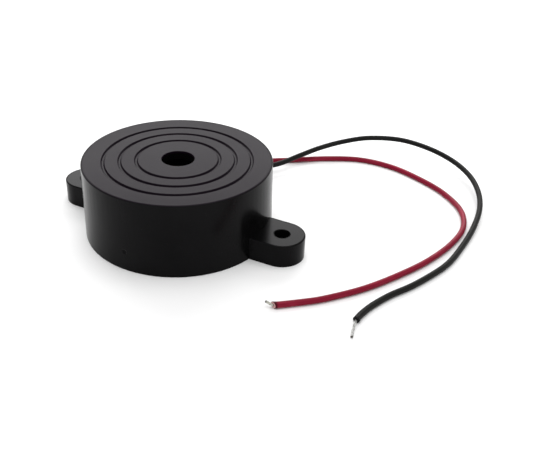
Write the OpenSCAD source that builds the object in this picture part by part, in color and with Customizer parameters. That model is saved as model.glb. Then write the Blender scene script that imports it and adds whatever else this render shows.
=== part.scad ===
// Flange-mount piezo buzzer with a built-in driver. A moulded housing with two screw ears holds a brass and
// ceramic disc behind its sound port, and a round driver board that the back cover clamps against ribs.
// Two insulated leads come out of a notch in the wall, over the tongue of the back cover.
// Millimetres. The origin is the centre of the rear rim. +Z runs to the front face, +X along the ears, and
// +Y to the lead notch.

/* [Housing] */
// Diameter of the front face
body_d = 42.2; // [40:0.1:60]
// Height from the rear rim to the front face
body_h = 17; // [16:0.5:26]
// Growth of the outside radius from the front face to the rear rim
draft = 0.3; // [0:0.05:0.4]
// Thickness of the side wall beside the board
wall_t = 1.6; // [1.2:0.1:2]
// Thickness of the front plate
front_t = 2; // [1.5:0.1:3]
// Rounding of the front rim
rim_round = 0.15; // [0.05:0.05:0.8]
// Rounding of the rear rim, on its outside
rear_round = 0.15; // [0.05:0.05:0.5]

/* [Sound port and grooves] */
// Diameter of the sound port
port_d = 7.3; // [4:0.1:12]
// Radius of the innermost ring groove, at its middle
groove_r = 9.2; // [7.5:0.1:10]
// Distance from one ring groove to the next
groove_pitch = 3.6; // [2:0.1:4]
// Number of ring grooves
groove_count = 3; // [1:1:3]
// Width of a ring groove
groove_w = 0.75; // [0.5:0.05:1.2]
// Depth of a ring groove
groove_depth = 0.4; // [0.3:0.05:1]
// Rounding of the lips of the port and the grooves
lip_round = 0.12; // [0.05:0.01:0.2]

/* [Screw ears] */
// Distance from the side of the front face to the middle of a screw hole
ear_reach = 4.9; // [4:0.1:12]
// Width of an ear, which ends in a half circle
ear_w = 10.4; // [8:0.1:16]
// Thickness of an ear
ear_t = 5.2; // [3:0.1:8]
// Diameter of a screw hole
screw_d = 3.4; // [2.4:0.1:4.5]
// Rounding of an ear's upper edge
ear_round = 0.15; // [0.05:0.05:0.6]

/* [Back cover] */
// Thickness of the back cover
cover_t = 1.6; // [1.2:0.1:2]
// Distance from the rear rim in to the cover's outside face
cover_sink = 0.2; // [0:0.05:0.5]
// Width of the shoulder in the wall that stops the cover
shoulder_w = 0.5; // [0.3:0.05:0.8]
// Clearance around the cover and its tongue
cover_gap = 0.1; // [0.05:0.01:0.2]
// Diameter of the pegs that hold the board up
peg_d = 2; // [1.2:0.1:3]
// Distance from the front face's radius in to the end of the tongue
tongue_sink = 0.2; // [0:0.05:0.5]

/* [Piezo element] */
// Thickness of the brass plate
plate_t = 0.3; // [0.1:0.05:0.5]
// Width of the bare brass around the ceramic disc
plate_rim = 5; // [4:0.1:7]
// Thickness of the ceramic disc
ceramic_t = 0.25; // [0.1:0.05:0.4]
// Width of the bare ceramic around the silver electrodes
electrode_margin = 1; // [0.5:0.1:3]
// Thickness of the silver electrodes
electrode_t = 0.05; // [0.02:0.01:0.1]
// Width of the feedback electrode
feedback_w = 4; // [3:0.1:6]
// Length of the feedback electrode, inwards from the rim of the electrodes
feedback_l = 7; // [5:0.1:9]
// Width of the bare line between the two electrodes
split_w = 0.6; // [0.3:0.05:1]
// Room between the coil and the element
element_gap = 2.15; // [1.2:0.05:3.5]
// Width of the ring seat under the plate's rim
seat_w = 1.5; // [0.8:0.1:2]
// Clearance around the plate in its seat
plate_gap = 0.2; // [0.1:0.05:0.3]
// Thickness of the lip around the plate
seat_lip = 0.9; // [0.6:0.05:1.2]
// Room between the lip and the side wall
seat_relief = 0.9; // [0.5:0.05:3]
// Width of the adhesive bead
bead_w = 1.2; // [0.8:0.05:1.4]
// Height of the adhesive bead
bead_h = 0.6; // [0.3:0.05:0.8]

/* [Circuit board] */
// Thickness of the board
board_t = 1.2; // [0.8:0.1:1.6]
// Clearance around the board
board_gap = 0.3; // [0.1:0.05:0.5]
// Width of the ribs that stop the board
rib_w = 2.4; // [1.5:0.1:4]
// How far a rib reaches over the board's edge
rib_grip = 0.7; // [0.4:0.05:1]
// Distance from the adhesive bead's crown to the ribs
rib_gap = 0.3; // [0.1:0.05:1]

/* [Components on the board] */
// Diameter of the coil's flanges
coil_d = 7.5; // [6:0.1:8]
// Height of the coil
coil_h = 4.2; // [3:0.1:4.6]
// Thickness of a flange of the coil
coil_flange_t = 0.8; // [0.5:0.1:1.2]
// Diameter of the coil's middle
coil_core_d = 3.2; // [2.4:0.1:4]
// How far the winding stays inside the flanges' rims
coil_fill = 0.4; // [0.2:0.05:1]
// Diameter of the transistor's round side
transistor_d = 4.6; // [4:0.1:5]
// Height of the transistor, which lies on its flat side
transistor_h = 3.6; // [3:0.1:4]
// Length of the transistor's body
transistor_l = 4.6; // [4:0.1:5.2]
// Diameter of a resistor's end caps
resistor_d = 2; // [1.6:0.1:2.4]
// Length of a resistor
resistor_l = 3.6; // [3:0.1:4.5]
// How much thinner a resistor is between its caps
resistor_waist = 0.3; // [0.1:0.05:0.5]
// Diameter of the diode
diode_d = 1.9; // [1.5:0.1:2.2]
// Length of the diode
diode_l = 3.9; // [3:0.1:4.5]
// Distance between the two holes of a resistor or the diode
axial_pitch = 7.5; // [6.5:0.1:8.5]
// Width of the capacitor
capacitor_w = 4.2; // [3.6:0.1:5]
// Height of the capacitor's body
capacitor_h = 3.4; // [3:0.1:3.6]
// Thickness of the capacitor
capacitor_t = 2.4; // [1.8:0.1:3]
// Rounding of the capacitor's corners
capacitor_round = 0.8; // [0.3:0.05:1]
// Height of the capacitor over the board
capacitor_lift = 0.6; // [0.3:0.05:0.8]
// Distance between the capacitor's legs
capacitor_pitch = 2.5; // [2.2:0.1:3]
// Diameter of every component leg
leg_d = 0.6; // [0.4:0.05:0.7]
// Distance that a leg stands out below the board
leg_below = 1.1; // [0.95:0.05:1.3]
// Clearance of a leg in its hole
leg_gap = 0.15; // [0.1:0.05:0.25]
// Bend of a leg, at its middle
leg_bend = 0.6; // [0.5:0.05:0.8]
// Diameter of a solder joint on the board
solder_d = 1.8; // [1.4:0.05:2]
// Diameter of a solder joint at its tip
solder_tip_d = 0.9; // [0.85:0.05:1.2]
// Height of a solder joint
solder_h = 0.8; // [0.5:0.05:0.9]
// Diameter of the solder that holds a lead to the board
pad_solder_d = 2.6; // [2:0.1:2.8]
// Clearance between solder and what it holds
solder_fit = 0.02; // [0.01:0.01:0.05]

/* [Wires to the element] */
// Diameter of a wire
wire_d = 0.6; // [0.4:0.05:0.7]
// Diameter of a solder dot on the element
dot_d = 1.8; // [1.4:0.1:2.4]
// Height of a solder dot
dot_h = 0.5; // [0.3:0.05:0.8]
// Distance from the plate's rim in to the solder dot on the plate
plate_dot_in = 2.95; // [2:0.05:3.5]
// Distance from the rim of the electrodes in to the solder dot on the main one
main_dot_in = 6.5; // [2:0.1:8]

/* [Leads] */
// Diameter of a lead over its insulation
lead_d = 1.35; // [1.2:0.05:1.5]
// Room between the two leads in the notch
lead_room = 0.25; // [0.2:0.05:1]
// Room between the leads and the board above them
lead_gap = 0.25; // [0.1:0.05:0.5]
// Clearance beside the leads in the notch
notch_gap = 0.2; // [0.1:0.05:0.4]
// Diameter of the bare conductor
conductor_d = 0.6; // [0.4:0.05:0.8]
// Length of bare conductor on the board
tail_l = 2.6; // [2:0.1:3]

/* [Hidden] */
$fn = 96;

// How far a cutting shape runs past the face it cuts
over = 1;
// Angle between two points of a small rounding
round_step = 18;

// Radii and heights of the housing, from the axis and the rear rim
body_r = body_d / 2;
rear_r = body_r + draft;
inner_r = body_r - wall_t;
front_in = body_h - front_t;
port_r = port_d / 2;
ear_r = ear_w / 2;
hole_x = body_r + ear_reach;

// Back cover
recess_r = inner_r + shoulder_w;
cover_r = recess_r - cover_gap;
cover_top = cover_sink + cover_t;

// Circuit board, over the leads
board_z = cover_top + lead_d + lead_gap;
board_top = board_z + board_t;
board_r = inner_r - board_gap;
rib_in = board_r - rib_grip;
rib_angles = [45, 135, 225, 315];
peg_r = rib_in - peg_d / 2;

// Piezo element, over the coil. Its plate lies against a seat that faces the rear, inside the side wall.
seat_out = inner_r - seat_relief;
seat_pocket = seat_out - seat_lip;
plate_r = seat_pocket - plate_gap;
seat_in = plate_r - seat_w;
ceramic_r = plate_r - plate_rim;
electrode_r = ceramic_r - electrode_margin;
feedback_x = electrode_r - feedback_l;
electrode_z = board_top + coil_h + element_gap;
ceramic_z = electrode_z + electrode_t;
plate_z = ceramic_z + ceramic_t;
seat_z = plate_z + plate_t;
rib_top = plate_z - bead_h - rib_gap;

// Lead notch in the wall
lead_space = lead_d + lead_room;
notch_round = lead_d / 2 + notch_gap;
notch_half = lead_space / 2 + notch_round;

// Places of the components on the board, with the one nearest to the board's edge taken from there
coil_at = [-8, -6];
coil_leg_r = coil_d / 3;
transistor_at = [7, -10];
transistor_leg_pitch = 1.27;
transistor_leg_splay = 1.1;
transistor_leg_run = 2;
transistor_axis_h = transistor_h - transistor_d / 2;
base_at = [9, 2];
bias_at = [13, 2];
bleed_in = 15.1;
bleed_at = [-13, board_r - bleed_in];
diode_at = [-8, 5];
capacitor_at = [1, -12];

// Holes in the board
function axial_holes(at) = [for (side = [-1, 1]) [at[0], at[1] + side * axial_pitch / 2]];
coil_holes = [for (a = [0, 120, 240]) coil_at + coil_leg_r * [cos(a), sin(a)]];
transistor_holes = [
  for (i = [-1, 0, 1])
    transistor_at + [i * (transistor_leg_pitch + transistor_leg_splay), transistor_l / 2 + transistor_leg_run]
];
capacitor_holes = [for (side = [-1, 1]) capacitor_at + [side * capacitor_pitch / 2, 0]];
plate_wire_hole = [0, 5];
main_wire_hole = [-3, -1];
feedback_wire_hole = [4, -1];
leg_holes = concat(
  axial_holes(base_at), axial_holes(bias_at), axial_holes(bleed_at), axial_holes(diode_at),
  coil_holes, transistor_holes, capacitor_holes
);
wire_holes = [plate_wire_hole, main_wire_hole, feedback_wire_hole];

// Solder dots on the element: one on the brass, one on each electrode
plate_dot = [0, plate_r - plate_dot_in, plate_z];
main_dot = [main_dot_in - electrode_r, 0, electrode_z];
feedback_dot = [(feedback_x + electrode_r) / 2, 0, electrode_z];

// Heights of the leads' middles: over the tongue of the back cover, with a little air, and on the table
tongue_air = 0.05;
in_notch = cover_top + lead_d / 2 + tongue_air;
on_table = lead_d / 2;

// Routes of the leads, from the board out to their far ends
red_route = [
  [-3, 11, in_notch], [-1, 17.5, in_notch], [-lead_space / 2, 22.5, in_notch], [0, 29.5, 1.4], [3.5, 37, 0.7],
  [10, 42, on_table], [18, 47.6, on_table], [26.5, 51.6, on_table], [35.5, 51.7, on_table],
  [44, 48.7, on_table], [51.4, 44.4, on_table], [57.4, 37.9, on_table], [59.85, 30, on_table],
  [59, 21.5, on_table], [56.1, 12.4, on_table], [52.1, 4.3, on_table], [47, -4, on_table],
  [41, -11.1, on_table], [37.1, -14.6, on_table], [32.9, -17.9, on_table]
];
red_tip = [[31.8, -18.2, 1.1], [31.1, -18.5, 1.4]];
black_route = [
  [3, 11, in_notch], [1, 17.5, in_notch], [lead_space / 2, 22.5, in_notch], [3.5, 28.8, 2.1], [8.8, 34.8, 2.3],
  [12.6, 41.5, 3], [15.9, 47.2, 3.6], [20.5, 53.3, 4.1], [26.2, 58.6, 4.4], [34.4, 61.9, 4.4],
  [42.9, 61.1, 4.1], [50.4, 57.8, 3.6], [56.1, 52.7, 3], [59.8, 46.3, 2.3], [61.7, 39.2, 1.6],
  [62.1, 30.9, 1], [61.5, 22, on_table], [60, 12.5, on_table], [56, 2.65, on_table], [52.4, -3.7, on_table],
  [50.25, -8.5, on_table], [49.1, -12.4, on_table], [48.85, -14.6, on_table]
];
black_tip = [[49.2, -17.2, 0.5], [49.7, -19.4, 0.4]];

// Rings between two points of a lead's route
lead_steps = 2;
// Rings between two points of a thin wire's route
wire_steps = 3;
// Shares of its run where a thin wire is led on
wire_shares = [0.3, 0.7];
// Sides of a lead or wire
lead_sides = 8;

function unit(v) = v / norm(v);

// End of a lead's bare conductor on the board, straight on from its route
function tail_end(route) = route[0] - tail_l * unit(smooth(route, lead_steps)[1] - route[0]);

// Point of the smooth curve through four neighbours, between the second and the third
function curve_at(a, b, c, d, t) =
  0.5 * (2 * b + (c - a) * t + (2 * a - 5 * b + 4 * c - d) * t * t + (3 * b - a - 3 * c + d) * t * t * t);

// Smooth curve through all the points of a route
function smooth(route, steps) = let (last = len(route) - 1) concat(
  [
    for (i = [0 : last - 1], s = [0 : steps - 1])
      curve_at(route[max(i - 1, 0)], route[i], route[i + 1], route[min(i + 2, last)], s / steps)
  ],
  [route[last]]
);

// Direction of a line of points at one of them
function heading(line, i) = unit(line[min(i + 1, len(line) - 1)] - line[max(i - 1, 0)]);

// Ring of corners around a point of the line, square to its heading
function ring(line, i, r, up) =
  let (ahead = heading(line, i), top = unit(up - (up * ahead) * ahead), side = cross(ahead, top))
  [
    for (k = [0 : lead_sides - 1])
      let (a = 360 * (k + 0.5) / lead_sides) line[i] + r * (cos(a) * side + sin(a) * top)
  ];

// Closed tube along a line of points
module tube(line, r, up = [0, 0, 1]) {
  n = lead_sides;
  last = len(line) - 1;
  corners = [for (i = [0 : last]) each ring(line, i, r, up)];
  sides = [
    for (i = [0 : last - 1], k = [0 : n - 1])
      [i * n + k, i * n + (k + 1) % n, (i + 1) * n + (k + 1) % n, (i + 1) * n + k]
  ];
  first_cap = [for (k = [0 : n - 1]) n - 1 - k];
  last_cap = [for (k = [0 : n - 1]) last * n + k];
  polyhedron(corners, concat([first_cap, last_cap], sides), convexity = 6);
}

// Straight round rod from one point to another
module rod(from, to, d) {
  run = to - from;
  translate(from)
    rotate([0, acos(run[2] / norm(run)), atan2(run[1], run[0])])
      cylinder(h = norm(run), d = d);
}

// Outline points of a rounded outer corner, from the angle first to the angle last
function corner(x, y, r, first, last) = [
  for (i = [0 : round(90 / round_step)])
    let (a = first + (last - first) * i / round(90 / round_step)) [x + r * cos(a), y + r * sin(a)]
];

// Outside of the housing without its ears
module shell_outside() {
  rotate_extrude()
    polygon(concat(
      [[0, 0]],
      corner(rear_r - rear_round, rear_round, rear_round, 270, 360),
      corner(body_r - rim_round, body_h - rim_round, rim_round, 0, 90),
      [[0, body_h]]
    ));
}

// Ear on the +X side, from the axis out to its half-round tip
module ear() {
  upper = corner(ear_r - ear_round, ear_t - ear_round, ear_round, 0, 90);
  half = concat([[0, 0], [ear_r, 0]], upper, [[0, ear_t]]);
  whole = concat([[-ear_r, 0], [ear_r, 0]], upper, [for (i = [len(upper) - 1 : -1 : 0]) [-upper[i][0], upper[i][1]]]);
  rotate([90, 0, 90])
    linear_extrude(height = hole_x)
      polygon(whole);
  translate([hole_x, 0, 0])
    rotate_extrude()
      polygon(half);
}

// Cutter of the sound port, with its rounded lip
module port_cut() {
  rotate_extrude()
    polygon(concat(
      [[0, front_in - over], [port_r, front_in - over]],
      corner(port_r + lip_round, body_h - lip_round, lip_round, 180, 90),
      [[port_r + lip_round, body_h + over], [0, body_h + over]]
    ));
}

// Cutter of one ring groove, with rounded lips, rounded corners at its floor and walls that lean apart
module groove_cut(r) {
  inner = r - groove_w / 2;
  outer = r + groove_w / 2;
  lean = (groove_w - 2 * lip_round) / 4;
  floor_z = body_h - groove_depth;
  rotate_extrude()
    polygon(concat(
      [[inner - lip_round, body_h + over]],
      corner(inner - lip_round, body_h - lip_round, lip_round, 90, 0),
      corner(inner + lean + lip_round, floor_z + lip_round, lip_round, 180, 270),
      corner(outer - lean - lip_round, floor_z + lip_round, lip_round, 270, 360),
      corner(outer + lip_round, body_h - lip_round, lip_round, 180, 90),
      [[outer + lip_round, body_h + over]]
    ));
}

// Cutter of the lead notch, open at the rear rim and round over each lead
module notch_cut() {
  round_z = board_z - notch_round;
  translate([0, rear_r + over, 0])
    rotate([90, 0, 0])
      linear_extrude(height = rear_r - inner_r + 2 * over) {
        translate([-notch_half, -over])
          square([2 * notch_half, round_z + over]);
        translate([-lead_space / 2, 0])
          square([lead_space, board_z]);
        for (side = [-1, 1])
          translate([side * lead_space / 2, round_z])
            circle(r = notch_round);
      }
}

// Rooms inside the housing, from the rear rim to the front plate
module rooms_cut() {
  translate([0, 0, -over])
    cylinder(r = recess_r, h = cover_top + over);
  cylinder(r = inner_r, h = plate_z);
  translate([0, 0, plate_z - over])
    difference() {
      cylinder(r = inner_r, h = front_in - plate_z + over);
      translate([0, 0, -over])
        cylinder(r = seat_out, h = front_in - plate_z + 3 * over);
    }
  translate([0, 0, plate_z - over])
    cylinder(r = seat_pocket, h = plate_t + over);
  translate([0, 0, seat_z - over])
    cylinder(r = seat_in, h = front_in - seat_z + over);
}

module housing() {
  color([0.06, 0.06, 0.065]) {
    difference() {
      union() {
        shell_outside();
        ear();
        mirror([1, 0, 0])
          ear();
      }
      rooms_cut();
      port_cut();
      for (i = [0 : groove_count - 1])
        groove_cut(groove_r + i * groove_pitch);
      for (side = [-1, 1])
        translate([side * hole_x, 0, -over])
          cylinder(d = screw_d, h = ear_t + 2 * over);
      notch_cut();
    }
    for (a = rib_angles)
      rotate(a)
        translate([rib_in, -rib_w / 2, board_top])
          cube([inner_r + wall_t / 2 - rib_in, rib_w, rib_top - board_top]);
  }
}

module back_cover() {
  tongue_half = notch_half - cover_gap;
  color([0.07, 0.07, 0.075]) {
    translate([0, 0, cover_sink])
      cylinder(r = cover_r, h = cover_t);
    intersection() {
      translate([0, 0, cover_sink])
        cylinder(r = body_r - tongue_sink, h = cover_t);
      translate([-tongue_half, cover_r - over, cover_sink])
        cube([2 * tongue_half, rear_r, cover_t]);
    }
    for (a = rib_angles)
      rotate(a)
        translate([peg_r, 0, cover_top - cover_t / 2])
          cylinder(d = peg_d, h = board_z - cover_top + cover_t / 2);
  }
}

module diaphragm_plate() {
  color([0.78, 0.6, 0.25])
    translate([0, 0, plate_z])
      cylinder(r = plate_r, h = plate_t);
}

module piezo_ceramic() {
  color([0.85, 0.82, 0.72])
    translate([0, 0, ceramic_z])
      cylinder(r = ceramic_r, h = ceramic_t);
}

module silver_electrodes() {
  color([0.8, 0.8, 0.82])
    translate([0, 0, electrode_z]) {
      difference() {
        cylinder(r = electrode_r, h = electrode_t);
        translate([feedback_x - split_w, -feedback_w / 2 - split_w, -over])
          cube([electrode_r, feedback_w + 2 * split_w, electrode_t + 2 * over]);
      }
      intersection() {
        cylinder(r = electrode_r, h = electrode_t);
        translate([feedback_x, -feedback_w / 2, 0])
          cube([electrode_r, feedback_w, electrode_t]);
      }
    }
}

module adhesive_bead() {
  middle = plate_r + plate_gap / 2;
  color([0.9, 0.9, 0.86])
    rotate_extrude()
      polygon([for (a = [0 : round_step : 180]) [middle + bead_w / 2 * cos(a), plate_z - bead_h * sin(a)]]);
}

module circuit_board() {
  color([0.72, 0.55, 0.3])
    difference() {
      translate([0, 0, board_z])
        cylinder(r = board_r, h = board_t);
      for (p = leg_holes)
        translate([p[0], p[1], board_z - over])
          cylinder(d = leg_d + 2 * leg_gap, h = board_t + 2 * over, $fn = 24);
      for (p = wire_holes)
        translate([p[0], p[1], board_z - over])
          cylinder(d = wire_d + 2 * leg_gap, h = board_t + 2 * over, $fn = 24);
    }
}

module coil_core() {
  color([0.2, 0.2, 0.21])
    translate([coil_at[0], coil_at[1], board_top]) {
      cylinder(d = coil_d, h = coil_flange_t);
      cylinder(d = coil_core_d, h = coil_h);
      translate([0, 0, coil_h - coil_flange_t])
        cylinder(d = coil_d, h = coil_flange_t);
    }
}

module coil_winding() {
  color([0.6, 0.25, 0.1])
    translate([coil_at[0], coil_at[1], board_top + coil_flange_t + solder_fit])
      difference() {
        cylinder(d = coil_d - 2 * coil_fill, h = coil_h - 2 * coil_flange_t - 2 * solder_fit);
        translate([0, 0, -over])
          cylinder(d = coil_core_d + 2 * solder_fit, h = coil_h + over);
      }
}

// Moulded case that lies on its flat side, with its legs towards +Y
module drive_transistor() {
  color([0.09, 0.09, 0.09])
    translate([transistor_at[0], transistor_at[1] + transistor_l / 2, board_top])
      rotate([90, 0, 0])
        linear_extrude(height = transistor_l)
          intersection() {
            translate([0, transistor_axis_h])
              circle(d = transistor_d);
            translate([-transistor_d / 2, 0])
              square([transistor_d, transistor_h]);
          }
}

// Resistor that lies along Y: two caps and a slimmer middle
module resistor(at) {
  cap_l = resistor_l / 4;
  cap_r = resistor_d / 2;
  waist_r = cap_r - resistor_waist / 2;
  translate([at[0], at[1] + resistor_l / 2, board_top + cap_r])
    rotate([90, 0, 0])
      rotate_extrude()
        polygon([
          [0, 0], [waist_r, 0], [cap_r, resistor_waist], [cap_r, cap_l], [waist_r, cap_l + resistor_waist],
          [waist_r, resistor_l - cap_l - resistor_waist], [cap_r, resistor_l - cap_l],
          [cap_r, resistor_l - resistor_waist], [waist_r, resistor_l], [0, resistor_l]
        ]);
}

module base_resistor() {
  color([0.8, 0.68, 0.48])
    resistor(base_at);
}

module bias_resistor() {
  color([0.8, 0.68, 0.48])
    resistor(bias_at);
}

module bleed_resistor() {
  color([0.8, 0.68, 0.48])
    resistor(bleed_at);
}

module polarity_diode() {
  edge = diode_d / 6;
  color([0.75, 0.35, 0.2])
    translate([diode_at[0], diode_at[1] + diode_l / 2, board_top + diode_d / 2])
      rotate([90, 0, 0])
        rotate_extrude()
          polygon([
            [0, 0], [diode_d / 2 - edge, 0], [diode_d / 2, edge], [diode_d / 2, diode_l - edge],
            [diode_d / 2 - edge, diode_l], [0, diode_l]
          ]);
}

module filter_capacitor() {
  half = capacitor_w / 2 - capacitor_round;
  color([0.8, 0.6, 0.15])
    translate([capacitor_at[0], capacitor_at[1] + capacitor_t / 2, board_top + capacitor_lift])
      rotate([90, 0, 0])
        linear_extrude(height = capacitor_t) {
          translate([-capacitor_w / 2, capacitor_round])
            square([capacitor_w, capacitor_h - 2 * capacitor_round]);
          translate([-half, 0])
            square([2 * half, capacitor_h]);
          for (side = [-1, 1], z = [capacitor_round, capacitor_h - capacitor_round])
            translate([side * half, z])
              circle(r = capacitor_round);
        }
}

// Leg that starts along +X, bends down and goes through the board. The start is rise above the board.
module bent_leg(run, rise) {
  drop = rise + board_t + leg_below;
  rotate([0, 90, 0])
    cylinder(d = leg_d, h = run - leg_bend, $fn = 24);
  translate([run - leg_bend, 0, -leg_bend])
    rotate([90, 0, 0])
      rotate_extrude(angle = 90, $fn = 24)
        translate([leg_bend, 0])
          circle(d = leg_d, $fn = 24);
  translate([run, 0, -drop])
    cylinder(d = leg_d, h = drop - leg_bend, $fn = 24);
}

// Both legs of a piece of length long and diameter d that lies along Y
module axial_legs(at, long, d) {
  for (a = [90, 270])
    translate([at[0], at[1], board_top + d / 2])
      rotate(a)
        translate([long / 2, 0, 0])
          bent_leg(axial_pitch / 2 - long / 2, d / 2);
}

module component_legs() {
  color([0.75, 0.75, 0.76]) {
    for (at = [base_at, bias_at, bleed_at])
      axial_legs(at, resistor_l, resistor_d);
    axial_legs(diode_at, diode_l, diode_d);
    for (p = coil_holes)
      translate([p[0], p[1], board_z - leg_below])
        cylinder(d = leg_d, h = board_t + leg_below, $fn = 24);
    for (p = capacitor_holes)
      translate([p[0], p[1], board_z - leg_below])
        cylinder(d = leg_d, h = board_t + leg_below + capacitor_lift, $fn = 24);
    for (i = [-1, 0, 1])
      splayed_leg(i);
  }
}

// Leg of the transistor that leaves its case straight, swings to the side of its hole and bends down
module splayed_leg(i) {
  start = [
    transistor_at[0] + i * transistor_leg_pitch, transistor_at[1] + transistor_l / 2,
    board_top + transistor_axis_h
  ];
  hole = [transistor_holes[i + 1][0], transistor_holes[i + 1][1], 0];
  bend = smooth([
    start + [0, leg_d / 2, 0], hole + [0, -leg_bend, start[2]], hole + [0, 0, start[2] - leg_bend],
    hole + [0, 0, start[2] - 2 * leg_bend]
  ], wire_steps);
  tube(concat([start], bend, [hole + [0, 0, board_z - leg_below]]), leg_d / 2, up = [1, 0, 0]);
}

// Solder around one leg below the board
module leg_solder(p, held_d) {
  translate([p[0], p[1], board_z - solder_h])
    difference() {
      cylinder(d1 = solder_tip_d, d2 = solder_d, h = solder_h, $fn = 32);
      translate([0, 0, -over])
        cylinder(d = held_d + 2 * solder_fit, h = solder_h + 2 * over, $fn = 24);
    }
}

// Solder that holds the bare end of a lead to the underside of the board
module pad_solder(route) {
  tail = tail_end(route);
  middle = (route[0] + tail) / 2;
  difference() {
    translate([middle[0], middle[1], board_z])
      sphere(d = pad_solder_d, $fn = 48);
    translate([middle[0] - pad_solder_d, middle[1] - pad_solder_d, board_z])
      cube(2 * pad_solder_d);
    rod(route[0] * 2 - tail, tail * 2 - route[0], conductor_d + 2 * solder_fit);
  }
}

module solder_joints() {
  color([0.7, 0.7, 0.72]) {
    for (p = leg_holes)
      leg_solder(p, leg_d);
    for (p = wire_holes)
      leg_solder(p, wire_d);
    pad_solder(red_route);
    pad_solder(black_route);
  }
}

// Thin wire from under the board, up through its hole and on to a solder dot on the element
module element_wire(hole, dot) {
  out = [dot[0] - hole[0], dot[1] - hole[1], 0];
  foot = [hole[0], hole[1], 0];
  top_z = dot[2];
  low_z = board_top + wire_d;
  high_z = top_z - dot_h - 2 * wire_d;
  line = concat(
    [foot + [0, 0, board_z - leg_below]],
    smooth([
      foot + [0, 0, low_z - wire_d], foot + [0, 0, low_z],
      each [for (s = wire_shares) foot + s * out + [0, 0, low_z + s * (high_z - low_z)]],
      foot + out + [0, 0, high_z], foot + out + [0, 0, high_z + wire_d]
    ], wire_steps),
    [foot + out + [0, 0, top_z - solder_fit]]
  );
  tube(line, wire_d / 2, up = cross(unit(out), [0, 0, 1]));
}

module plate_wire() {
  color([0.1, 0.1, 0.1])
    element_wire(plate_wire_hole, plate_dot);
}

module main_wire() {
  color([0.7, 0.1, 0.1])
    element_wire(main_wire_hole, main_dot);
}

module feedback_wire() {
  color([0.15, 0.25, 0.6])
    element_wire(feedback_wire_hole, feedback_dot);
}

module element_solder() {
  color([0.72, 0.72, 0.74])
    for (p = [plate_dot, main_dot, feedback_dot])
      translate([p[0], p[1], p[2] - dot_h])
        difference() {
          cylinder(d1 = dot_d / 2, d2 = dot_d, h = dot_h, $fn = 32);
          translate([0, 0, -over])
            cylinder(d = wire_d + 2 * solder_fit, h = dot_h + 2 * over, $fn = 24);
        }
}

// Bare ends of a lead: soldered to the board inside, and free outside
module lead_ends(route, tip) {
  line = smooth(route, lead_steps);
  last = len(line) - 1;
  bend = smooth(concat([line[last] + conductor_d / 2 * heading(line, last)], tip), wire_steps);
  rod(route[0], tail_end(route), conductor_d);
  tube(concat([line[last]], bend), conductor_d / 2);
}

module red_lead() {
  color([0.55, 0.05, 0.1])
    tube(smooth(red_route, lead_steps), lead_d / 2);
}

module red_lead_ends() {
  color([0.75, 0.75, 0.73])
    lead_ends(red_route, red_tip);
}

module black_lead() {
  color([0.05, 0.05, 0.05])
    tube(smooth(black_route, lead_steps), lead_d / 2);
}

module black_lead_ends() {
  color([0.75, 0.75, 0.73])
    lead_ends(black_route, black_tip);
}

housing();
back_cover();
diaphragm_plate();
piezo_ceramic();
silver_electrodes();
adhesive_bead();
circuit_board();
coil_core();
coil_winding();
drive_transistor();
base_resistor();
bias_resistor();
bleed_resistor();
polarity_diode();
filter_capacitor();
component_legs();
solder_joints();
plate_wire();
main_wire();
feedback_wire();
element_solder();
red_lead();
red_lead_ends();
black_lead();
black_lead_ends();
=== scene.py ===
import bpy
import numpy as np
from mathutils import Matrix


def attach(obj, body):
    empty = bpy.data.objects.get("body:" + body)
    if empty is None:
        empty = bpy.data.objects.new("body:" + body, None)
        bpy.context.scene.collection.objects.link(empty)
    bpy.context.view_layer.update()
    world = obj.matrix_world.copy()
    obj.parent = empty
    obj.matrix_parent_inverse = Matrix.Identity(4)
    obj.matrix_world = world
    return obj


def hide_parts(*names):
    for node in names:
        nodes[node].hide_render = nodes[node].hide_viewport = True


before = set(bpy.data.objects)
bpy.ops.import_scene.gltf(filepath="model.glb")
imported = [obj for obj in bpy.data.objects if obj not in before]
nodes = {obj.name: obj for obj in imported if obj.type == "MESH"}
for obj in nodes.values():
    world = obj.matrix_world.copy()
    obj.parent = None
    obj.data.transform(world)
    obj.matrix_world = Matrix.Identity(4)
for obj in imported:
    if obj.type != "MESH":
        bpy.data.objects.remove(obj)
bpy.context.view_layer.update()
scene = bpy.context.scene
scene.view_settings.view_transform = "Standard"


# Camera. It stands close to the buzzer, to the right of its axis, and looks down on the front face.
# The picture's upper edge is still below the horizon, so that only the floor lies behind the object.
camera = bpy.data.objects.new("camera", bpy.data.cameras.new("camera"))
camera.matrix_world = Matrix((
    (0.9018, -0.2590, 0.3460, 0.07686),
    (0.4304, 0.4647, -0.7738, -0.12032),
    (0.0396, 0.8467, 0.5306, 0.08912),
    (0, 0, 0, 1),
))
camera.data.sensor_width = 36
camera.data.lens = 47.497
camera.data.clip_start = 0.01
scene.collection.objects.link(camera)
scene.camera = camera


# Red lead. Crimson PVC is extruded round seven twisted strands of tinned copper, and both ends are stripped.
# It comes off the underside of the board, leaves through the notch and lies on the table in a wide bow.
# Its free end is cut at a slant and a little spread.
def curve(points, steps):
    """Smooth line through points b, c with neighbours a, d, for t from 0 to 1:
    (2b + (c - a)t + (2a - 5b + 4c - d)t^2 + (3b - a - 3c + d)t^3) / 2."""
    padded = np.concatenate([points[:1], points, points[-1:]])
    a, b, c, d = (padded[i:len(points) - 1 + i, None] for i in range(4))
    t = np.linspace(0, 1, steps, endpoint=False)[None, :, None]
    line = (2 * b + (c - a) * t + (2 * a - 5 * b + 4 * c - d) * t**2 + (3 * b - a - 3 * c + d) * t**3) / 2
    return np.concatenate([line.reshape(-1, 3), points[-1:]])


def travelled(line):
    """Distance along a line up to each of its points."""
    return np.concatenate([[0], np.cumsum(np.linalg.norm(np.diff(line, axis=0), axis=1))])


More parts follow.
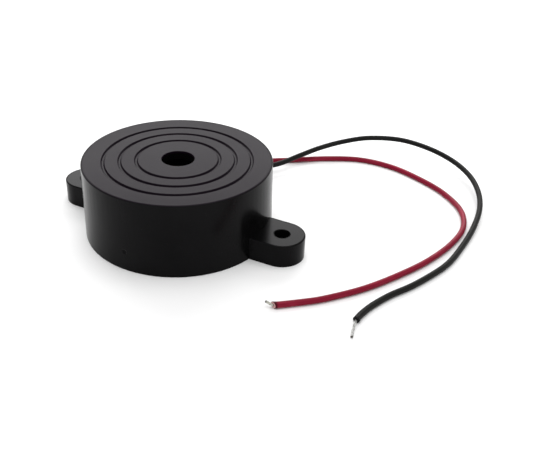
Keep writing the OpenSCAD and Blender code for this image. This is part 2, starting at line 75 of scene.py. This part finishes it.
def axes(line):
    """Unit vectors at each point of a line: ahead, and then side and top, which are square to it."""
    ahead = np.gradient(line, axis=-2)
    ahead /= np.linalg.norm(ahead, axis=-1, keepdims=True)
    side = np.cross(ahead, (0, 0, 1.0))
    side /= np.linalg.norm(side, axis=-1, keepdims=True)
    return ahead, side, np.cross(side, ahead)


def sweep(lines, radius, side, top, sides):
    """Tubes along M lines of N points: grid line + r (cos a side + sin a top), its quads and end caps."""
    angle = (np.arange(sides) * 2 * np.pi / sides)[:, None]
    ring = np.cos(angle) * side[..., None, :] + np.sin(angle) * top[..., None, :]
    points = lines[..., None, :] + radius[:, None, None] * ring
    number = np.arange(points.size // 3).reshape(points.shape[:-1])
    after = np.roll(number, -1, axis=2)
    quads = np.stack([number[:, :-1], number[:, 1:], after[:, 1:], after[:, :-1]], axis=-1)
    caps = np.concatenate([number[:, 0], number[:, -1, ::-1]])
    return points.reshape(-1, 3), quads, caps


def piece(name, points, faces, sharp=0.6):
    """New mesh of points in metres, smooth but for edges over the angle sharp, that rides on the frame."""
    mesh = bpy.data.meshes.new(name)
    mesh.from_pydata(points.tolist(), [], faces)
    mesh.shade_smooth()
    mesh.set_sharp_from_angle(angle=sharp)
    made = bpy.data.objects.new(name, mesh)
    scene.collection.objects.link(made)
    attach(made, "root")
    return made


def insulation(name, line, outer, bore, slant):
    """Tube along a line, with a cut at each end: a rounded rim, a flat ring and a blind bore. The far end is
    a little wider, and its cut runs ahead by slant times the distance to the side. The UV is the distance
    along in millimetres and the share of a turn, and the cut faces take the second material."""
    rim, depth, sides, end_l, flare = 0.00006, 0.0008, 32, 0.0014, 0.1
    ahead, side, top = axes(line)
    shift = np.array([depth, 0, 0, rim])[:, None]
    whole = np.concatenate([line[0] + shift * ahead[0], line[1:-1], line[-1] - shift[::-1] * ahead[-1]])
    cut = np.array([bore, bore, outer - rim, outer])
    radius = np.concatenate([cut, np.full(len(line) - 2, outer), cut[::-1]])
    spread = np.concatenate([[0] * 3, np.arange(len(line)), [len(line) - 1] * 3])
    gone = travelled(line)[spread]
    near = np.clip(1 - (gone[-1] - gone) / end_l, 0, 1)**2
    radius *= 1 + flare * near
    whole[:, 2] += outer * flare * near
    points, quads, caps = sweep(whole[None], radius, side[None, spread], top[None, spread], sides)
    points = points.reshape(len(whole), sides, 3)
    aside = (points - whole[:, None]) @ side[-1]
    points += (slant * near[:, None] * aside)[..., None] * ahead[-1]
    made = piece(name, points.reshape(-1, 3), quads.reshape(-1, 4).tolist() + caps.tolist())
    gone = np.broadcast_to(gone[:, None] * 1000, (len(whole), sides + 1))
    turn = np.broadcast_to(np.arange(sides + 1) / sides, gone.shape)
    grid = np.stack([gone, turn], axis=-1)
    corners = np.stack([grid[:-1, :-1], grid[1:, :-1], grid[1:, 1:], grid[:-1, 1:]], axis=2).reshape(-1, 2)
    uv = np.concatenate([corners, np.zeros((2 * sides, 2))])
    made.data.uv_layers.new(name="along").data.foreach_set("uv", uv.astype(np.float32).ravel())
    is_cut = np.zeros((len(whole) - 1, sides), int)
    is_cut[[0, 1, -2, -1]] = 1
    slots = np.concatenate([is_cut.ravel(), [1, 1]]).astype(np.int32)
    made.data.polygons.foreach_set("material_index", slots)
    return made


def strands(name, lines):
    """Seven strands twisted round each line: one in the middle and six that turn once in every lay."""
    strand_r, lay, sides, count = 0.00009, 0.009, 12, 7
    _, side, top = axes(lines)
    gone = np.stack([travelled(line) for line in lines])[:, None]
    order = np.arange(count)[:, None]
    turn = (2 * np.pi * (order / (count - 1) + gone / lay))[..., None]
    out = (2 * strand_r * (order < count - 1))[..., None]
    twisted = lines[:, None] + out * (np.cos(turn) * side[:, None] + np.sin(turn) * top[:, None])
    twisted = twisted.reshape(-1, *lines.shape[1:])
    _, side, top = axes(twisted)
    points, quads, caps = sweep(twisted, np.full(lines.shape[1], strand_r), side, top, sides)
    return piece(name, points, quads.reshape(-1, 4).tolist() + caps.tolist())


class Shade:
    """Socket of a material. Sums and products of sockets are Math nodes, and add() puts in any node."""

    def __init__(self, tree, socket=None):
        self.tree, self.socket = tree, socket

    def add(self, kind, inputs, out=0, **settings):
        node = self.tree.nodes.new(kind)
        for name, value in settings.items():
            setattr(node, name, value)
        for key, value in inputs.items():
            if isinstance(value, Shade):
                self.tree.links.new(value.socket, node.inputs[key])
            else:
                node.inputs[key].default_value = value
        return Shade(self.tree, node.outputs[out])

    def math(self, operation, *values):
        return self.add("ShaderNodeMath", dict(enumerate(values)), operation=operation)

    def __add__(self, other):
        return self.math("ADD", self, other)

    def __sub__(self, other):
        return self.math("SUBTRACT", self, other)

    def __rsub__(self, other):
        return self.math("SUBTRACT", other, self)

    def __mul__(self, other):
        return self.math("MULTIPLY", self, other)

    __radd__, __rmul__ = __add__, __mul__

    def vector(self, operation, inputs, out="Vector"):
        return self.add("ShaderNodeVectorMath", inputs, out=out, operation=operation)

    def length(self):
        return self.vector("LENGTH", {0: self}, "Value")

    def part(self, axis):
        return self.add("ShaderNodeSeparateXYZ", {0: self}, out=axis)

    def join(self, x, y, z):
        return self.add("ShaderNodeCombineXYZ", {0: x, 1: y, 2: z})

    def move(self, offset, scale=(1, 1, 1)):
        return self.add("ShaderNodeMapping", {"Vector": self, "Location": offset, "Scale": scale})

    def noise(self, scale, detail=2.0):
        return self.add("ShaderNodeTexNoise", {"Vector": self, "Scale": scale, "Detail": detail})

    def cells(self, scale):
        return self.add("ShaderNodeTexVoronoi", {"Vector": self, "Scale": scale}, out="Distance")

    def step(self, low, high):
        """0 below low and 1 above high, or the other way round if high is the lower one."""
        a, b, c, d = (low, high, 0.0, 1.0) if low < high else (high, low, 1.0, 0.0)
        limits = {"Value": self, "From Min": a, "From Max": b, "To Min": c, "To Max": d}
        return self.add("ShaderNodeMapRange", limits, interpolation_type="SMOOTHSTEP")

    def blend(self, first, second):
        """First colour where this is 0 and second where it is 1. A colour is a socket or three shares."""
        first, second = (c if isinstance(c, Shade) else (*c, 1) for c in (first, second))
        return self.add("ShaderNodeMix", {0: self, 6: first, 7: second}, out=2, data_type="RGBA")


def material(name, coords="Object"):
    """New material and its coordinates: millimetres in the row frame, or the piece's own UV."""
    made = bpy.data.materials.new(name)
    made.use_nodes = True
    made.node_tree.nodes.clear()
    place = Shade(made.node_tree).add("ShaderNodeTexCoord", {}, out=coords)
    return made, place.vector("SCALE", {0: place, "Scale": 1000.0 if coords == "Object" else 1.0})


def surface(made, height, depth, **inputs):
    """Principled surface of a material, with the height map in metres of depth, on the inputs named."""
    start = Shade(made.node_tree)
    bump = start.add("ShaderNodeBump", {"Height": height, "Distance": depth, "Strength": 1.0})
    sockets = {name.replace("_", " "): value for name, value in inputs.items()}
    shader = start.add("ShaderNodeBsdfPrincipled", {**sockets, "Normal": bump})
    output = made.node_tree.nodes.new("ShaderNodeOutputMaterial")
    made.node_tree.links.new(shader.socket, output.inputs["Surface"])
    return made


def pvc(name, colour, pale, gloss, end):
    """Extruded PVC: paler die lines along the lead, a faint grain, and darker over the last millimetre up to
    end.
    """
    made, along = material(name, "UV")
    gone, turn = along.part("X"), along.part("Y") * (2 * np.pi)
    round_x, round_y = turn.math("COSINE", turn), turn.math("SINE", turn)
    line = along.join(gone * 0.05, round_x * 1.6, round_y * 1.6).noise(1.0, 3.0)
    patch = along.join(gone * 0.2, round_x * 0.5, round_y * 0.5).noise(1.0)
    grain = along.join(gone * 5, round_x * 4, round_y * 4).noise(1.0)
    streak = line.step(0.48, 0.7)
    skin = (streak * 0.6 + patch.step(0.45, 0.75) * 0.4).blend(colour, pale)
    return surface(
        made, line * 0.6 + grain * 0.4, 0.00002,
        Base_Color=gone.step(end - 1.0, end - 0.4).blend(skin, [v / 3 for v in colour]),
        Roughness=patch * 0.16 + streak * 0.08 + gloss, IOR=1.18)


def cut_face(name, colour, pale):
    """Freshly cut PVC: dull and paler than the skin, with the scratches of the blade."""
    made, place = material(name)
    scratch = place.move((0, 0, 0), (2, 2, 14)).noise(1.0, 3.0)
    return surface(made, scratch, 0.00004, Base_Color=scratch.step(0.3, 0.7).blend(colour, pale),
                   Roughness=scratch * 0.2 + 0.5, IOR=1.18)


def tinned(name, bright=(0.7, 0.69, 0.66), dull=(0.5, 0.49, 0.46), tip=(0, 0, -1000)):
    """Tinned copper: duller patches where fingers and flux have been, and dark where it was cut, at tip."""
    made, place = material(name)
    patch = place.noise(2.2, 3.0)
    cut = place.move([-v for v in tip]).length().step(0.4, 0.2)
    return surface(
        made, place.noise(9.0), 0.00001, Metallic=1.0,
        Base_Color=cut.blend(patch.step(0.35, 0.65).blend(bright, dull), (0.1, 0.09, 0.08)),
        Roughness=patch * 0.25 + cut * 0.3 + 0.25)


def lead(name, route, tip, slant, skin, cut, tin):
    """Lead along a route in millimetres, which lies on the table where the route is lowest. Bare strands
    stick out at its inner end and run along its tip. Both stand in for the lead and its ends in the frame."""
    lead_r, bore_r, tail_l, inside_l = 0.000675, 0.00031, 0.0026, 0.0006
    line = curve(np.array(route) / 1000, 10)
    line[:, 2] = np.maximum(line[:, 2], lead_r)
    length = float(travelled(line)[-1])
    made = insulation(f"{name}_insulation", line, lead_r, bore_r, slant)
    made.data.materials.append(pvc(f"{name}_pvc", *skin, length * 1000))
    made.data.materials.append(cut_face(f"{name}_cut", *cut))
    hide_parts(f"{name}_lead")
    tail = line[0] + np.linspace(inside_l, -tail_l, 33)[:, None] * axes(line)[0][0]
    ends = strands(f"{name}_strands", np.stack([tail, curve(np.array(tip) / 1000, 16)]))
    ends.data.materials.append(tinned(f"{name}_conductor", *tin, tip[-1]))
    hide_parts(f"{name}_lead_ends")


red_route = (
    (-3, 11, 2.525), (-1, 17.5, 2.525), (-0.8, 22.5, 2.525), (0, 29.5, 1.4), (3.5, 37, 0.7), (10, 42, 0.675),
    (18, 47.6, 0.675), (26.5, 51.6, 0.675), (35.5, 51.7, 0.675), (44, 48.7, 0.675), (51.4, 44.4, 0.675),
    (57.4, 37.9, 0.675), (59.85, 30, 0.675), (59, 21.5, 0.675), (56.1, 12.4, 0.675), (52.1, 4.3, 0.675),
    (47, -4, 0.675), (41, -11.1, 0.675), (37.1, -14.6, 0.675), (32.65, -18.1, 0.675),
)
red_tip = (32.65, -18.1, 0.675), (31.8, -18.3, 1.05), (31.1, -18.5, 1.4)
lead("red", red_route, red_tip, slant=0.45,
     skin=((0.185, 0.0045, 0.02), (0.32, 0.025, 0.052), 0.22),
     cut=((0.5, 0.24, 0.24), (0.74, 0.52, 0.5)),
     tin=((0.55, 0.55, 0.5), (0.3, 0.3, 0.26)))


# Black lead. The same wire in black, duller, beside the red one on the board and in the notch.
# It rises over the red lead and comes down to the table outside it, and its free end is cut square.
black_route = (
    (3, 11, 2.525), (1, 17.5, 2.525), (0.8, 22.5, 2.525), (3.5, 28.8, 2.1), (8.8, 34.8, 2.3), (12.6, 41.5, 3),
    (15.9, 47.2, 3.6), (20.5, 53.3, 4.1), (26.2, 58.6, 4.4), (34.4, 61.9, 4.4), (42.9, 61.1, 4.1),
    (50.4, 57.8, 3.6), (56.1, 52.7, 3), (59.8, 46.3, 2.3), (61.7, 39.2, 1.6), (62.1, 30.9, 1),
    (61.5, 22, 0.675), (60, 12.5, 0.675), (56, 2.65, 0.675), (52.4, -3.7, 0.675), (50.25, -8.5, 0.675),
    (49.1, -12.4, 0.675), (48.85, -14.6, 0.675),
)
black_tip = (48.85, -14.6, 0.675), (49.2, -17.2, 0.5), (49.7, -19.4, 0.4)
lead("black", black_route, black_tip, slant=0.0,
     skin=((0.006, 0.006, 0.0055), (0.02, 0.0195, 0.018), 0.36),
     cut=((0.006, 0.006, 0.006), (0.02, 0.02, 0.02)),
     tin=((0.46, 0.46, 0.45), (0.24, 0.24, 0.23)))


# Housing. One moulding in black ABS: cup, two screw ears, seat for the disc and ribs for the board.
# The front face comes off a satin tool and sinks a little towards its rim. The wall and the ears come off a
# polished one, and a small dimple low on the wall is left by the gate where the plastic came in. The dimple
# is
# darkened with painted shade: it turns partly metallic over the black, so that it reflects little.
smoother = bpy.data.node_groups.new("smooth_by_angle", "GeometryNodeTree")
smoother.interface.new_socket("Geometry", in_out="INPUT", socket_type="NodeSocketGeometry")
smoother.interface.new_socket("Geometry", in_out="OUTPUT", socket_type="NodeSocketGeometry")
group_in = smoother.nodes.new("NodeGroupInput")
group_out = smoother.nodes.new("NodeGroupOutput")
edge_angle = smoother.nodes.new("GeometryNodeInputMeshEdgeAngle")
is_soft = smoother.nodes.new("FunctionNodeCompare")
is_soft.operation = "LESS_EQUAL"
is_soft.inputs["B"].default_value = 0.5
soft_edges = smoother.nodes.new("GeometryNodeSetShadeSmooth")
soft_edges.domain = "EDGE"
soft_faces = smoother.nodes.new("GeometryNodeSetShadeSmooth")
smoother.links.new(edge_angle.outputs["Unsigned Angle"], is_soft.inputs["A"])
smoother.links.new(group_in.outputs[0], soft_faces.inputs["Geometry"])
smoother.links.new(soft_faces.outputs[0], soft_edges.inputs["Geometry"])
smoother.links.new(is_soft.outputs[0], soft_edges.inputs["Shade Smooth"])
smoother.links.new(soft_edges.outputs[0], group_out.inputs[0])


def dress(name, made):
    """CAD node with welded, smooth faces, of which the larger set the normals, and its material."""
    node = nodes[name]
    weld = node.modifiers.new("weld", "WELD")
    weld.merge_threshold = 0.000002
    node.modifiers.new("smooth", "NODES").node_group = smoother
    normals = node.modifiers.new("normals", "WEIGHTED_NORMAL")
    normals.keep_sharp = True
    node.data.materials.clear()
    node.data.materials.append(made)


def abs_plastic(name, gloss, satin_from=1000.0, sink=0.0, soft=0.0, gate=(0, 0, -1000)):
    """Moulded black ABS: flow patches that are slow waves too, a fine grain, a few grains of dust and a
    dimple at gate, darkened with painted shade by turning it partly metallic over the black. Above the height
    satin_from it is satin inside its rim, with a violet cast.
    last groove it falls away to the rim by sink, and the edges of the rim, the ears and the screw holes drop
    by up to soft. Both are in hundredths of a millimetre, and so is the depth of the dimple."""
    groove_r, rim_r, wall_r = 16.8, 21.0, 21.4
    hole_x, hole_r, ear_r = 26.0, 1.7, 5.2
    dimple_r, dimple_depth = 0.6, 14.0
    made, place = material(name)
    flow = place.noise(0.16, 3.0)
    grain = place.noise(7.0)
    dust = place.cells(0.9).step(0.1, 0.04) * place.noise(0.5).step(0.5, 0.62)
    radius = place.move((0, 0, 0), (1, 1, 0)).length()
    satin = place.part("Z").step(satin_from - 0.1, satin_from) * radius.step(rim_r, rim_r - 0.1)
    fall = radius.step(groove_r, rim_r + 0.2)
    past_hole = place.part("X").math("ABSOLUTE", place.part("X")) - hole_x
    hole = place.join(past_hole, place.part("Y"), 0.0).length()
    ear = place.join(past_hole.math("MAXIMUM", past_hole, 0.0), place.part("Y"), 0.0).length()
    edge = radius.step(rim_r - 0.5, rim_r + 0.3) + hole.step(hole_r + 0.3, hole_r - 0.15) * 0.7
    edge = edge + ear.step(ear_r - 0.5, ear_r + 0.2) * radius.step(wall_r, wall_r + 0.2)
    # Painted shade: the dimple's mask also makes it partly metallic over the black colour, which darkens it
    # like a shaded pit.
    dimple = place.move([-v for v in gate]).length().step(dimple_r, dimple_r - 0.25)
    black = (flow * 0.3 + dust * 0.7).blend((0.001, 0.001, 0.0011), (0.012, 0.012, 0.0125))
    return surface(
        made, flow * 0.7 + grain * 0.3 - dimple * dimple_depth - fall * sink - edge * soft, 0.00001,
        Base_Color=(satin * 0.6).blend(black, (0.006, 0.0012, 0.0066)),
        Roughness=flow * 0.06 + satin * 0.17 + dust * 0.2 + dimple * 0.4 + gloss, Metallic=dimple * 0.7,
        IOR=1.15, Specular_Tint=(1, 0.965, 1, 1))


housing_abs = abs_plastic("housing_abs", 0.16, satin_from=16.5, sink=9.0, soft=30.0, gate=(-0.2, -21.3, 4.6))
dress("housing", housing_abs)


# Back cover. A flat black disc with four pegs and a tongue, pressed into the rear of the housing.
# Its pegs clamp the board, and its tongue closes the notch under the leads.
dress("back_cover", abs_plastic("cover_abs", 0.16))


# Piezo element. A brass disc with a ceramic disc on it, silvered, and glued to the seat with a silicone bead.
# The silver is printed in two fields: the main one and a small one that feeds back to the transistor.
def plain(name, first, second, scale, gloss, **inputs):
    """Mottled surface of two colours."""
    made, place = material(name)
    mottle = place.noise(scale, 3.0)
    return surface(made, mottle, 0.00001, Base_Color=mottle.step(0.3, 0.7).blend(first, second),
                   Roughness=mottle * 0.15 + gloss, **inputs)


dress("diaphragm_plate", plain("brass", (0.5, 0.33, 0.12), (0.64, 0.45, 0.18), 0.8, 0.25, Metallic=1.0))
dress("piezo_ceramic", plain("ceramic", (0.66, 0.62, 0.5), (0.74, 0.7, 0.58), 3.0, 0.5))
dress("silver_electrodes", plain("silver", (0.7, 0.69, 0.66), (0.82, 0.81, 0.78), 2.0, 0.35, Metallic=1.0))
dress("adhesive_bead", plain("silicone", (0.72, 0.72, 0.68), (0.8, 0.8, 0.76), 0.5, 0.3))


# Driver board. A round phenolic laminate, with copper tracks on its rear side under a thin lacquer.
# The tracks run from leg to leg, and each joint is soldered by hand.
def from_track(place, start, end):
    """Distance of a place on the board from the line between two others."""
    run = np.subtract(end, start)
    gone = place.move((-start[0], -start[1], 0))
    share = gone.vector("DOT_PRODUCT", {0: gone, 1: (*run / (run @ run), 0)}, "Value")
    share = share.add("ShaderNodeClamp", {"Value": share})
    on_track = share.vector("SCALE", {0: (*run, 0), "Scale": share})
    return on_track.vector("DISTANCE", {0: gone, 1: on_track}, "Value")


tracks = (
    ((-3, 9.7), (-8, 8.8)), ((-8, 1.3), (-9.3, -3.8)), ((-5.5, -6), (-3, -1)), ((-9.3, -8.2), (-0.3, -12)),
    ((2.3, -12), (4.6, -5.7)), ((7, -5.7), (9, -1.8)), ((4, -1), (9, -1.8)), ((9, 5.8), (13, 5.8)),
    ((9.4, -5.7), (13, -1.8)), ((3, 9.7), (0, 5)), ((3, 9.7), (13, 5.8)), ((-13, 7.9), (-8, 8.8)),
    ((-13, 0.4), (-9.3, -3.8)),
)
board_rear = 3.5
laminate, place = material("laminate")
weave = place.move((0, 0, 0), (1, 0.2, 1)).noise(1.2, 4.0)
flat = place.move((0, 0, 0), (1, 1, 0))
copper = 0.0
for start, end in tracks:
    track = from_track(flat, start, end).step(0.75, 0.65)
    copper = track.math("MAXIMUM", track, copper)
copper = copper * place.part("Z").step(board_rear, board_rear - 0.05)
paper = weave.step(0.3, 0.7).blend((0.3, 0.16, 0.06), (0.42, 0.24, 0.1))
dress("circuit_board", surface(
    laminate, weave * 0.3 + copper, 0.00003, Base_Color=copper.blend(paper, (0.62, 0.3, 0.12)),
    Metallic=copper * 0.8, Roughness=weave * 0.15 - copper * 0.1 + 0.4))


# Coil. Enamelled copper wire is wound in level turns on a ferrite bobbin.
# The bobbin stands on the board, and its three legs go through to the tracks.
dress("coil_core", plain("ferrite", (0.03, 0.03, 0.032), (0.06, 0.06, 0.062), 3.0, 0.5))
wire_pitch = 0.16
winding, place = material("enamelled_wire")
phase = place.part("Z") * (2 * np.pi / wire_pitch)
turns = phase.math("SINE", phase)
mottle = place.noise(4.0, 3.0)
# Painted shade: the enamel's colour follows the turns, lighter on the crest of each wire and darker in the
# grooves between them.
enamel_and_shade = (turns * 0.3 + mottle * 0.7).blend((0.28, 0.07, 0.02), (0.52, 0.18, 0.06))
dress("coil_winding", surface(
    winding, turns, 0.00004, Base_Color=enamel_and_shade, Metallic=0.6, Roughness=mottle * 0.15 + 0.2))


# Transistor, resistors, diode and capacitor. The transistor is moulded in epoxy, the resistors are dipped in
# lacquer and ringed with their colour code, the diode is glass with a black ring at its cathode, and the
# capacitor is dipped in yellow resin.
def ringed(name, body, middle, rings, gloss):
    """Lacquer of one colour, with rings square to Y at distances in millimetres from the middle."""
    made, place = material(name)
    mottle = place.noise(2.0, 3.0)
    colour = mottle.step(0.3, 0.7).blend([0.85 * v for v in body], body)
    along = place.part("Y") - middle
    for distance, ring in rings:
        off = along - distance
        colour = off.math("ABSOLUTE", off).step(0.22, 0.18).blend(colour, ring)
    return surface(made, mottle, 0.00001, Base_Color=colour, Roughness=mottle * 0.12 + gloss)


dress("drive_transistor", plain("epoxy", (0.012, 0.012, 0.012), (0.025, 0.025, 0.025), 4.0, 0.5))
tan, gold = (0.62, 0.45, 0.26), (0.45, 0.3, 0.06)
black, brown = (0.01, 0.01, 0.01), (0.12, 0.04, 0.015)
red, orange = (0.4, 0.02, 0.015), (0.6, 0.18, 0.02)
for name, middle, code in (
        ("base", 2.0, (brown, black, red, gold)),
        ("bias", 2.0, (red, red, orange, gold)),
        ("bleed", 4.1, (orange, orange, red, gold))):
    rings = zip((-1.2, -0.5, 0.2, 1.2), code)
    dress(f"{name}_resistor", ringed(f"{name}_lacquer", tan, middle, rings, 0.25))
dress("polarity_diode", ringed("diode_glass", (0.6, 0.2, 0.08), 5.0, ((1.35, black),), 0.06))
dress("filter_capacitor", plain("capacitor_coat", (0.55, 0.3, 0.04), (0.65, 0.38, 0.06), 1.5, 0.25))


# Legs, solder and thin wires. Tinned legs are bent down through the board, and three insulated wires run from
# the board to the solder dots on the element.
dress("component_legs", tinned("legs_tin"))
dress("solder_joints", tinned("board_solder"))
dress("plate_wire", plain("plate_wire_pvc", (0.012, 0.012, 0.012), (0.03, 0.03, 0.03), 2.0, 0.35))
dress("main_wire", plain("main_wire_pvc", (0.3, 0.01, 0.015), (0.4, 0.03, 0.03), 2.0, 0.35))
dress("feedback_wire", plain("feedback_wire_pvc", (0.01, 0.03, 0.2), (0.03, 0.06, 0.3), 2.0, 0.35))
dress("element_solder", tinned("dot_solder"))


# Floor and light. A white table, a soft light behind the buzzer that its front face mirrors, and one above.
# The wall towards the camera mirrors the floor in the buzzer's own shadow, and stays dark.
# Far from the lights the table glows a little, so that it ends in the white backdrop without an edge.
floor_made, floor_place = material("floor_white")
floor_tone = floor_place.noise(0.01)
floor_glow = floor_place.length().step(300, 1500)
surface(floor_made, floor_tone, 0.0, Base_Color=floor_tone.blend((0.95, 0.95, 0.95), (0.97, 0.97, 0.97)),
        Emission_Color=floor_glow.blend((0, 0, 0), (1, 1, 1)), Emission_Strength=0.3, Roughness=0.9, IOR=1.2)
floor_mesh = bpy.data.meshes.new("floor")
floor_mesh.from_pydata([(-3, -3, 0), (3, -3, 0), (3, 3, 0), (-3, 3, 0)], [], [(0, 1, 2, 3)])
floor_mesh.materials.append(floor_made)
floor = bpy.data.objects.new("floor", floor_mesh)
floor.location.z = -0.00002
scene.collection.objects.link(floor)


def soft_light(name, place, size, watts):
    """Rectangular area light that faces the middle of the buzzer."""
    lamp = bpy.data.lights.new(name, "AREA")
    lamp.shape = "RECTANGLE"
    lamp.size, lamp.size_y = size
    lamp.energy = watts
    made = bpy.data.objects.new(name, lamp)
    made.location = place
    made.rotation_mode = "QUATERNION"
    made.rotation_quaternion = (-made.location).to_track_quat("-Z", "Y")
    scene.collection.objects.link(made)


soft_light("rear_light", (-0.42, 0.68, 0.55), (1.3, 0.45), 6.6)
soft_light("top_light", (0.1, 0.0, 1.2), (1.0, 1.0), 5.5)
world_light, world_white = 0.8, 1.0
world = bpy.data.worlds.new("studio")
world.use_nodes = True
backdrop = world.node_tree.nodes["Background"]
backdrop.inputs["Color"].default_value = (1, 1, 1, 1)
rays = ("Is Camera Ray", "Is Glossy Ray", "Is Transmission Ray")
seen = sum(Shade(world.node_tree).add("ShaderNodeLightPath", {}, out=ray) for ray in rays)
strength = seen.math("MINIMUM", seen, 1.0) * (world_white - world_light) + world_light
world.node_tree.links.new(strength.socket, backdrop.inputs["Strength"])
scene.world = world
